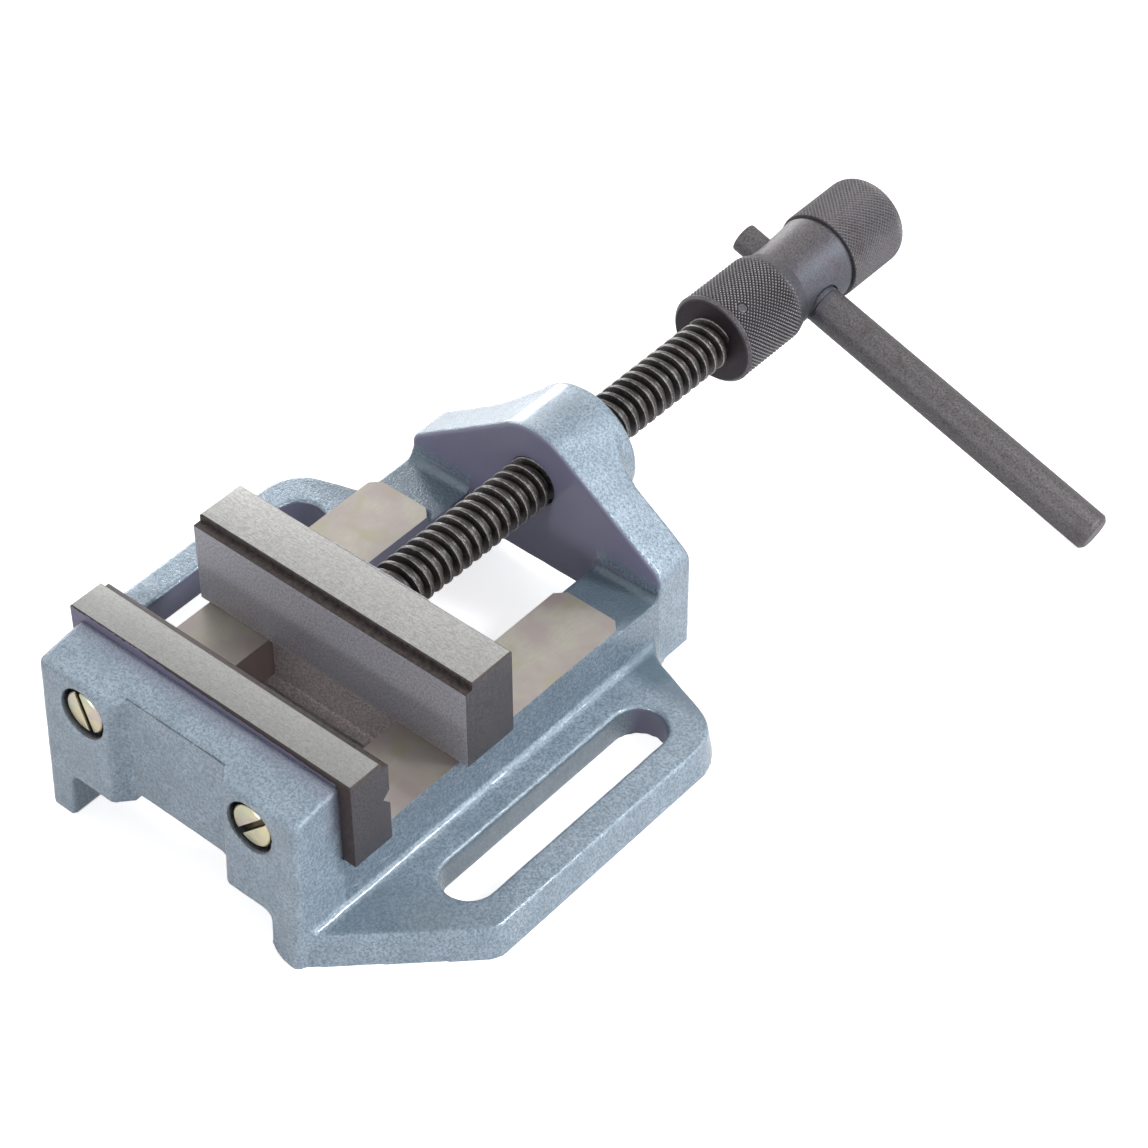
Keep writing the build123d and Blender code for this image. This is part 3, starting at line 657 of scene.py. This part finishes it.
def make_thread_black():
    """Dark oily thread: slight crest wear, a painted highlight along one edge, and painted glints."""
    black = Finish("oiled_thread")
    streak = black.noise(1.3, detail=4.0, rough=0.6)
    fleck = black.noise(0.5, detail=3.0, rough=0.7)
    oil = black.noise(4.0, detail=3.0)
    edge = black.mark(WEAR_AND_SHINE)
    worn_and_shine = black.math("MULTIPLY", edge, black.span(streak, 0.35, 0.6, 0.35, 1.0))
    # painted glints on the crest and its highlighted edge
    glints = black.math("MULTIPLY", black.span(fleck, 0.6, 0.66), black.span(edge, 0.0, 0.1))
    worn_and_shine = black.math("MAXIMUM", worn_and_shine, black.math("MULTIPLY", glints, 0.8))
    colour = black.mix(black.span(oil, 0.42, 0.62), THREAD_BLACK, THREAD_BROWN)
    return black.finish(Base_Color=black.mix(worn_and_shine, colour, THREAD_WORN_SHINE),
                        Metallic=black.span(worn_and_shine, 0.0, 1.0, 0.08, 0.8),
                        Roughness=black.vary(streak, 0.25, 0.5), Normal=black.bump(fleck, 0.06))


def make_zinc():
    """Yellow-passivated zinc with faint pink and green tints, shaded inside the screws' slots."""
    zinc = Finish("yellow_zinc")
    pink = zinc.noise(3.5, detail=1.0)
    green = zinc.noise(5.5, detail=1.0)
    speck = zinc.noise(0.4)
    colour = zinc.mix(zinc.span(pink, 0.5, 0.65), ZINC_YELLOW, ZINC_PINK)
    colour = zinc.mix(zinc.span(green, 0.52, 0.7), colour, ZINC_GREEN)
    colour = zinc.mix(zinc.above(zinc.axes()[1], SCREW_LOW.y + 0.5 * MM), colour, ZINC_SHADE)
    return zinc.finish(Base_Color=colour, Metallic=0.8, Roughness=zinc.vary(speck, 0.25, 0.4),
                       Normal=zinc.bump(speck, 0.01))


PAINT = make_paint()
GROUND_STEEL = make_ground_steel()
MILLED_STEEL = make_milled_steel()
STEP_STEEL = make_step_steel()
PLATE_BACK = make_plate_back()
OXIDE = make_oxide()
THREAD = make_thread_black()
ZINC = make_zinc()
JAW_FINISHES = [MILLED_STEEL, GROUND_STEEL, STEP_STEEL, PLATE_BACK]


def add(name, data):
    """A new object in the scene."""
    made = bpy.data.objects.new(name, data)
    bpy.context.scene.collection.objects.link(made)
    return made


def baked(holder):
    """The mesh of an object with its modifiers applied."""
    result = holder.evaluated_get(bpy.context.evaluated_depsgraph_get())
    return bpy.data.meshes.new_from_object(result)


def piece_from(mesh, name, materials, sharp=SHARP):
    """A new piece that holds a mesh, shaded smooth but for its sharp edges."""
    mesh.name = name
    for material in materials:
        mesh.materials.append(material)
    mesh.polygons.foreach_set("use_smooth", [True] * len(mesh.polygons))
    mesh.set_sharp_from_angle(angle=radians(sharp))
    return add(name, mesh)


def settle(piece, body, node):
    """Hang a piece on the body it rides on, and hide the CAD node that it stands for."""
    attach(piece, body)
    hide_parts(node)


def mesh_of(points, faces):
    """A mesh from points in mm."""
    mesh = bpy.data.meshes.new("mesh")
    mesh.from_pydata([tuple(c * MM for c in p) for p in points], [], faces)
    mesh.update()
    return mesh


def joined_copy(node):
    """A copy of a CAD node's mesh with its corners joined and its flat faces whole."""
    shape = bmesh.new()
    shape.from_mesh(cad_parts[node].data)
    bmesh.ops.remove_doubles(shape, verts=shape.verts, dist=JOIN_WITHIN)
    bmesh.ops.dissolve_limit(shape, angle_limit=FLAT_ANGLE, verts=shape.verts, edges=shape.edges)
    mesh = bpy.data.meshes.new(node)
    shape.to_mesh(mesh)
    shape.free()
    return mesh


def applied(mesh, *modifiers):
    """The mesh with modifiers applied, each given as its kind and settings."""
    holder = add("holder", mesh)
    for kind, settings in modifiers:
        modifier = holder.modifiers.new(kind, kind)
        for key, value in settings.items():
            setattr(modifier, key, value)
    made = baked(holder)
    bpy.data.objects.remove(holder)
    made.materials.clear()
    return made


def broken_edges(node, width):
    """A CAD node's mesh with its sharp edges rounded a little, width in mm."""
    bevel = {"limit_method": "ANGLE", "angle_limit": BEVEL_ANGLE, "width": width * MM,
             "segments": BEVEL_STEPS, "harden_normals": False}
    return applied(joined_copy(node), ("BEVEL", bevel))


def jaw_finish(face):
    """A jaw face's place in JAW_FINISHES: ground on top, dark in the step, or the fixed plate's back."""
    if face.normal.z > TOP_FACING and face.center.z > JAW_HIGH.z - TOP_REACH:
        return GROUND
    if face.center.y < PLATE_LOW.y + BACK_REACH:
        return BACK
    return STEPPED if face.center.z > JAW_HIGH.z - STEP_REACH else MILLED


def rounded(stations, steps=ROUND_STEPS):
    """Points of a (place, radius, round) outline with each corner's round worked in."""
    points = []
    for index, (place, radius, size) in enumerate(stations):
        corner = Vector((place, radius))
        if not size:
            points.append(corner)
            continue
        before = (Vector(stations[index - 1][:2]) - corner).normalized()
        after = (Vector(stations[index + 1][:2]) - corner).normalized()
        half = before.angle(after) / 2
        middle = corner + (before + after).normalized() * size / sin(half)
        first = corner + before * size / tan(half)
        last = corner + after * size / tan(half)
        start = atan2(first.y - middle.y, first.x - middle.x)
        turn = atan2(last.y - middle.y, last.x - middle.x) - start
        turn = (turn + pi) % (2 * pi) - pi
        for step in range(steps + 1):
            angle = start + turn * step / steps
            points.append(middle + Vector((cos(angle), sin(angle))) * size)
    return points


def rings(rows):
    """Points and faces of a closed shape about +Y; each row has its places and radii round the turn."""
    around = len(rows[0][1])
    points, faces = [], []
    for places, radii, *_ in rows:
        for index, (place, radius) in enumerate(zip(places, radii)):
            angle = 2 * pi * index / around
            points.append((radius * sin(angle), place, radius * cos(angle)))
    for row in range(len(rows) - 1):
        for index in range(around):
            here = row * around + index
            beside = row * around + (index + 1) % around
            if (row + index) % 2:
                faces += [(here, beside, here + around), (beside, beside + around, here + around)]
            else:
                faces += [(here, beside, beside + around), (here, beside + around, here + around)]
    faces.append(tuple(range(around))[::-1])
    faces.append(tuple(range((len(rows) - 1) * around, len(rows) * around)))
    return points, faces


def turned(stations, around=AROUND):
    """The mesh of a closed turned bar about +Y from (place, radius, round) stations."""
    return mesh_of(*rings([([p.x] * around, [p.y] * around) for p in rounded(stations)]))


def placed(mesh, angle=None, y=0.0):
    """Move a turned mesh from the +Y axis onto the spindle's axis, or square to it at an angle."""
    move = Matrix.Translation((0, y, AXIS_Z))
    if angle is not None:
        move = move @ Matrix.Rotation(-angle, 4, "Y") @ Matrix.Rotation(-pi / 2, 4, "Z")
    mesh.transform(move)
    return mesh


def cut(mesh, tools):
    """The mesh less each tool's mesh."""
    body = add("blank", mesh)
    cutters = [add("cutter", tool) for tool in tools]
    for cutter in cutters:
        modifier = body.modifiers.new("cut", "BOOLEAN")
        modifier.operation = "DIFFERENCE"
        modifier.solver = "EXACT"
        modifier.object = cutter
    made = baked(body)
    for used in [body, *cutters]:
        bpy.data.objects.remove(used)
    return made


def evenly(outline, step):
    """Points at even distances along an outline."""
    lengths = [0.0]
    for first, last in zip(outline, outline[1:]):
        lengths.append(lengths[-1] + (last - first).length)
    count = max(2, round(lengths[-1] / step))
    wanted = np.linspace(0, lengths[-1], count + 1)
    places = np.interp(wanted, lengths, [p.x for p in outline])
    radii = np.interp(wanted, lengths, [p.y for p in outline])
    return [Vector(pair) for pair in zip(places, radii)]


def knurled_rows(outline, fade):
    """Rows of small pyramids along an outline, fading out over its last rows, with each point's mark."""
    points = evenly(outline, KNURL_STEP)
    rows = []
    for row, point in enumerate(points):
        before = points[max(row - 1, 0)]
        after = points[min(row + 1, len(points) - 1)]
        along = (after - before).normalized()
        out = Vector((-along.y, along.x))
        share = min(1.0, (len(points) - row) / fade)
        places, radii, marks = [], [], []
        for index in range(KNURL_AROUND):
            valley = (row + index) % 2
            sunk = KNURL_DEPTH * share * valley
            places.append(point.x - out.x * sunk)
            radii.append(point.y - out.y * sunk)
            marks.append(-share if valley else share)
        rows.append((places, radii, marks))
    return rows


def plain_rows(outline):
    """Smooth rows along an outline, unmarked."""
    return [([p.x] * KNURL_AROUND, [p.y] * KNURL_AROUND, [0.0] * KNURL_AROUND) for p in outline]


def head_rows():
    """The head's rows, front to back: two knurled bands with a smooth neck between them."""
    front = [p for p in rounded(HEAD_FRONT) if p.x < FRONT_PLAIN]
    first = [p for p in rounded(FRONT_OUTLINE, FRONT_STEPS) if p.x < WAIST - KNURL_OFF_WAIST]
    second = rounded(REAR_OUTLINE, REAR_STEPS)
    return (plain_rows(front) + knurled_rows(first, FADE_FRONT) + plain_rows(rounded(NECK_OUTLINE))
            + knurled_rows(second, FADE_REAR) + plain_rows(rounded(HEAD_BACK)))


def head_holes():
    """What is cut out of the head: its bore, the pin's hole, the lever's hole and its shoulder's seat."""
    y = HEAD_LOW.y
    lever_y = y + LEVER_BACK * MM
    bore = turned([(BORE_FROM, BORE_R, 0), (BORE_DEEP, BORE_R, 0)])
    pin = turned([(-HOLE_OUT, PIN_R + PIN_PLAY, 0), (HOLE_OUT, PIN_R + PIN_PLAY, 0)], AROUND_PIN)
    thin = turned([(-HOLE_OUT, THIN_R + LEVER_PLAY, 0), (HOLE_OUT, THIN_R + LEVER_PLAY, 0)], AROUND_HOLE)
    seat = turned([(SEAT_OUT, SEAT_R, 0), (HOLE_OUT, SEAT_R, 0)], AROUND_HOLE)
    return [placed(bore, y=y), placed(pin, PIN_ANGLE, y + PIN_BACK * MM),
            placed(thin, LEVER_ANGLE, lever_y), placed(seat, LEVER_ANGLE, lever_y)]


def make_head():
    """The knurled head, marked for its material, with its bores and seat."""
    rows = head_rows()
    blank = mesh_of(*rings(rows))
    marks = blank.attributes.new(KNURL, "FLOAT", "POINT")
    marks.data.foreach_set("value", [mark for row in rows for mark in row[2]])
    piece = piece_from(cut(placed(blank, y=HEAD_LOW.y), head_holes()), "knurled_head", [OXIDE])
    settle(piece, "spindle", "spindle_head")


def make_lever():
    """The stepped lever with rounded rims, a collar line near its shoulder and a cut far end."""
    mesh = placed(turned(LEVER_OUTLINE), LEVER_ANGLE, HEAD_LOW.y + LEVER_BACK * MM)
    piece = piece_from(mesh, "stepped_lever", [OXIDE])
    settle(piece, "spindle", "lever")


def make_pin():
    """The cross pin with slightly rounded ends."""
    mesh = placed(turned(PIN_OUTLINE, AROUND_PIN), PIN_ANGLE, HEAD_LOW.y + PIN_BACK * MM)
    piece = piece_from(mesh, "cross_pin", [OXIDE])
    settle(piece, "spindle", "head_pin")


def thread_profile():
    """One pitch of the thread as (share of the pitch, radius) points, from crest to crest."""
    crest = CREST / 2 / PITCH
    root = 0.5 - ROOT / 2 / PITCH
    high, low = THREAD_R, THREAD_ROOT_R
    half = [
        (0.0, high), (crest - CORNER_SHARE, high), (crest, high - CORNER_DEEP),
        (crest + FLANK_SHARE, high - FLANK_DEEP), (root - FLANK_SHARE, low + FLANK_DEEP),
        (root, low + CORNER_DEEP), (root + CORNER_SHARE, low),
    ]
    return half + [(0.5, low)] + [(1 - place, radius) for place, radius in half[:0:-1]]


def first_crest(start):
    """Where the endless thread begins, some spare turns before the bar's start, in mm."""
    return start - PITCH * SPARE_TURNS - (start % PITCH)


def helix(start, end, profile):
    """Points and faces of an open thread that reaches past both ends of the bar, in mm."""
    turns = ceil((end - start) / PITCH + 2 * SPARE_TURNS)
    size = len(profile)
    first = first_crest(start)
    points, faces = [], []
    for row in range(turns * size + 1):
        turn, index = divmod(row, size)
        share, radius = profile[index]
        for step in range(AROUND):
            place = first + PITCH * (turn + share + step / AROUND)
            reach = min(radius, THREAD_R - RUN_IN + max(0.0, place - start))
            angle = 2 * pi * step / AROUND
            points.append((reach * sin(angle), place, reach * cos(angle)))
    for row in range(turns * size - size):
        for step in range(AROUND):
            here = row * AROUND + step
            beside = here + 1 if step < AROUND - 1 else (row + size) * AROUND
            faces.append((here, beside, beside + AROUND, here + AROUND))
    return points, faces


def trimmed(mesh, start, end):
    """A bar cut off square at two places on +Y, in mm, and closed there."""
    shape = bmesh.new()
    shape.from_mesh(mesh)
    for place, side in ((start, -1), (end, 1)):
        geometry = shape.verts[:] + shape.edges[:] + shape.faces[:]
        cut_edges = bmesh.ops.bisect_plane(shape, geom=geometry, plane_co=(0, place * MM, 0),
                                           plane_no=(0, side, 0), clear_outer=True)["geom_cut"]
        rim = [item for item in cut_edges if isinstance(item, bmesh.types.BMEdge)]
        bmesh.ops.edgeloop_fill(shape, edges=rim)
    loose = [v for v in shape.verts if not v.link_faces]
    bmesh.ops.delete(shape, geom=loose, context="VERTS")
    bmesh.ops.recalc_face_normals(shape, faces=shape.faces)
    shape.to_mesh(mesh)
    shape.free()
    return mesh


def mark_crest(mesh, start):
    """Mark the thread's slight crest wear, and a painted highlight along the crest's front edge."""
    axis_z = AXIS_Z / MM
    first = first_crest(start)
    low, high = SHINE_BAND
    marks = []
    for vertex in mesh.vertices:
        x, y, z = (c / MM for c in vertex.co)
        turn = (atan2(x, z - axis_z) / (2 * pi)) % 1.0
        from_crest = ((y - first) / PITCH - turn + 0.5) % 1.0 - 0.5
        on_crest = x * x + (z - axis_z) ** 2 > (THREAD_R - CREST_DEEP) ** 2
        on_edge = on_crest and low < from_crest < high
        marks.append(SHINE_EDGE if on_edge else RUB_CREST if on_crest else 0.0)
    layer = mesh.attributes.new(WEAR_AND_SHINE, "FLOAT", "POINT")
    layer.data.foreach_set("value", marks)


def joined(*meshes):
    """Several meshes as one."""
    shape = bmesh.new()
    for mesh in meshes:
        shape.from_mesh(mesh)
    made = bpy.data.meshes.new("joined")
    shape.to_mesh(made)
    shape.free()
    return made


def make_spindle():
    """The spindle: plain nose and groove in front, a trapezoidal thread and the end in the head."""
    thread = trimmed(mesh_of(*helix(THREAD_AT, HEAD_AT, thread_profile())), THREAD_AT, HEAD_AT)
    mesh = placed(joined(turned(NOSE_OUTLINE), thread, turned(END_OUTLINE)))
    mark_crest(mesh, THREAD_AT)
    piece = piece_from(mesh, "threaded_spindle", [THREAD], SHARP_THREAD)
    settle(piece, "spindle", "spindle")


def vectors(mesh, name):
    """One vector for each point of a mesh, as rows of an array."""
    values = np.empty(len(mesh.vertices) * 3)
    mesh.vertices.foreach_get(name, values)
    return values.reshape(-1, 3)


def snap(points, axis, place, low, high):
    """Put the points near a machined plane, inside a region, onto that plane; all in mm."""
    inside = np.all((points > low) & (points < high), axis=1)
    near = inside & (np.abs(points[:, axis] - place) < SNAP)
    points[near, axis] = place
    return near


def round_bore(points):
    """Put the points near the bridge's bore onto its cylinder, in mm."""
    axis_z = AXIS_Z / MM
    from_axis = np.hypot(points[:, 0], points[:, 2] - axis_z)
    bore = (from_axis < BRIDGE_BORE_R + SNAP) & (points[:, 1] > BRIDGE_FRONT / MM - SNAP)
    stretch = BRIDGE_BORE_R / from_axis[bore]
    points[bore, 0] *= stretch
    points[bore, 2] = axis_z + (points[bore, 2] - axis_z) * stretch


def work_surface(mesh):
    """Make a mesh slightly uneven, but flat and round where the casting is machined."""
    points = vectors(mesh, "co") / MM
    swell = np.array([noise.noise(Vector(p) / WAVE) + RIPPLE_SHARE * noise.noise(Vector(p) / RIPPLE)
                      for p in points])
    machined = np.zeros(len(points), bool)
    flat = points.copy()
    for plane in MACHINED:
        machined |= snap(flat, *plane)
    points += vectors(mesh, "normal") * (UNEVEN * swell * ~machined)[:, None]
    points[machined] = flat[machined]
    round_bore(points)
    mesh.vertices.foreach_set("co", (points * MM).ravel())


def is_machined(face):
    """Whether a face of the casting lies on a machined plane."""
    centre = np.array(face.center) / MM
    return any(abs(centre[axis] - place) < FLAT_REACH and abs(face.normal[axis]) > FLAT_FACING
               and np.all(centre > low) and np.all(centre < high) for axis, place, low, high in MACHINED)


def make_casting():
    """The casting with the soft edges and slight unevenness of sand-cast iron, flat where it is machined."""
    mesh = applied(
        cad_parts["body_casting"].data.copy(),
        ("REMESH", {"mode": "VOXEL", "voxel_size": VOXEL * MM}),
        ("SMOOTH", {"factor": 0.5, "iterations": SOFTEN}),
    )
    work_surface(mesh)
    triangles = sum(len(face.vertices) - 2 for face in mesh.polygons)
    mesh = applied(mesh, ("DECIMATE", {"ratio": min(1.0, CAST_FACES / triangles)}))
    piece = piece_from(mesh, "cast_body", [PAINT], SHARP_CAST)
    for face in mesh.polygons:
        face.use_smooth = not is_machined(face)
    settle(piece, "body", "body_casting")


def dress(node, name, body, width, materials, choose=None):
    """A CAD node with its edges broken, width in mm, and a finish, chosen face by face if there are more."""
    mesh = broken_edges(node, width)
    piece = piece_from(mesh, name, materials)
    if choose:
        for face in mesh.polygons:
            face.material_index = choose(face)
    settle(piece, body, node)


def make_jaws():
    """The jaws: ground on top, milled at the sides, dark in their steps."""
    dress("fixed_jaw_plate", "ground_jaw_plate", "body", 0.12, JAW_FINISHES, jaw_finish)
    dress("moving_jaw", "ground_moving_jaw", "jaw", 0.12, JAW_FINISHES, jaw_finish)
    dress("keeper_plate", "milled_keeper", "jaw", 0.3, [MILLED_STEEL])
    dress("spindle_retainer", "milled_retainer", "jaw", 0.2, [MILLED_STEEL])


def make_fasteners():
    """Screws and bolts with broken edges."""
    dress("jaw_plate_screws", "slotted_screws", "body", 0.12, [ZINC])
    dress("keeper_bolts", "hexagon_bolts", "jaw", 0.15, [GROUND_STEEL])
    dress("retainer_screws", "small_screws", "jaw", 0.08, [GROUND_STEEL])


def make_floor():
    """A plain pale floor that fades into a white background, dark under the ways' opening."""
    pale = Finish("studio_floor")
    paths = pale.nodes.new("ShaderNodeLightPath").outputs
    mirrored = pale.math("MAXIMUM", paths["Is Glossy Ray"], paths["Is Transmission Ray"])
    glow = pale.blend(paths["Is Camera Ray"], pale.math("MULTIPLY", mirrored, FLOOR_MIRRORED), FLOOR_GLOW)
    x, y, _ = pale.axes()
    enclosed = pale.all(pale.below(pale.math("ABSOLUTE", x), SHADE_HALF), pale.above(y, WALL_REAR),
                        pale.span(y, SHADE_START, SHADE_END, 1.0, 0.0))
    glow = pale.math("MULTIPLY", glow, pale.math("SUBTRACT", 1.0, enclosed))
    material = pale.finish(Base_Color=pale.mix(pale.noise(3.0), FLOOR_DARK, FLOOR_LIGHT), Roughness=0.8,
                           Emission_Color=(1, 1, 1, 1), Emission_Strength=glow)
    corners = [(x_side * FLOOR_HALF, y_side * FLOOR_HALF, 0)
               for x_side, y_side in ((-1, -1), (1, -1), (1, 1), (-1, 1))]
    mesh = bpy.data.meshes.new("floor")
    mesh.from_pydata(corners, [], [(0, 1, 2, 3)])
    mesh.materials.append(material)
    add("floor", mesh)


def make_world():
    """White where it is seen or reflected, and a plain soft light elsewhere."""
    world = bpy.data.worlds.new("studio")
    bpy.context.scene.world = world
    world.use_nodes = True
    tree = world.node_tree
    paths = tree.nodes.new("ShaderNodeLightPath").outputs
    seen = tree.nodes.new("ShaderNodeMath")
    seen.operation = "MAXIMUM"
    tree.links.new(paths["Is Camera Ray"], seen.inputs[0])
    tree.links.new(paths["Is Glossy Ray"], seen.inputs[1])
    level = tree.nodes.new("ShaderNodeMapRange")
    level.inputs["To Min"].default_value = WORLD_LEVEL
    level.inputs["To Max"].default_value = 1.0
    tree.links.new(seen.outputs[0], level.inputs["Value"])
    back = tree.nodes["Background"]
    back.inputs["Color"].default_value = (1.0, 1.0, 1.0, 1.0)
    tree.links.new(level.outputs["Result"], back.inputs["Strength"])


def make_lamp(name, at, size, power):
    """A square soft lamp that looks at the vise."""
    light = bpy.data.lights.new(name, "AREA")
    light.shape = "SQUARE"
    light.size = size
    light.energy = power
    lamp = add(name, light)
    lamp.location = at
    lamp.rotation_euler = (LAMP_TARGET - Vector(at)).to_track_quat("-Z", "Y").to_euler()


def make_camera():
    """The camera at the photograph's place and angle."""
    level = cos(CAMERA_ELEVATION)
    back = Vector((sin(CAMERA_AZIMUTH) * level, -cos(CAMERA_AZIMUTH) * level, sin(CAMERA_ELEVATION)))
    right = Vector((cos(CAMERA_AZIMUTH), sin(CAMERA_AZIMUTH), 0))
    up = back.cross(right)
    rolled_right = right * cos(CAMERA_ROLL) + up * sin(CAMERA_ROLL)
    rolled_up = up * cos(CAMERA_ROLL) - right * sin(CAMERA_ROLL)
    data = bpy.data.cameras.new("camera")
    data.lens = CAMERA_LENS
    data.sensor_width = SENSOR
    camera = add("camera", data)
    axes = Matrix((rolled_right, rolled_up, back)).transposed().to_4x4()
    camera.matrix_world = Matrix.Translation(CAMERA_AT) @ axes
    bpy.context.scene.camera = camera


make_casting()
make_jaws()
make_fasteners()
make_head()
make_lever()
make_pin()
make_spindle()
make_floor()
make_world()
for lamp_name, (lamp_at, lamp_size, lamp_power) in LAMPS.items():
    make_lamp(lamp_name, lamp_at, lamp_size, lamp_power)
make_camera()
bpy.context.scene.view_settings.view_transform = "Standard"
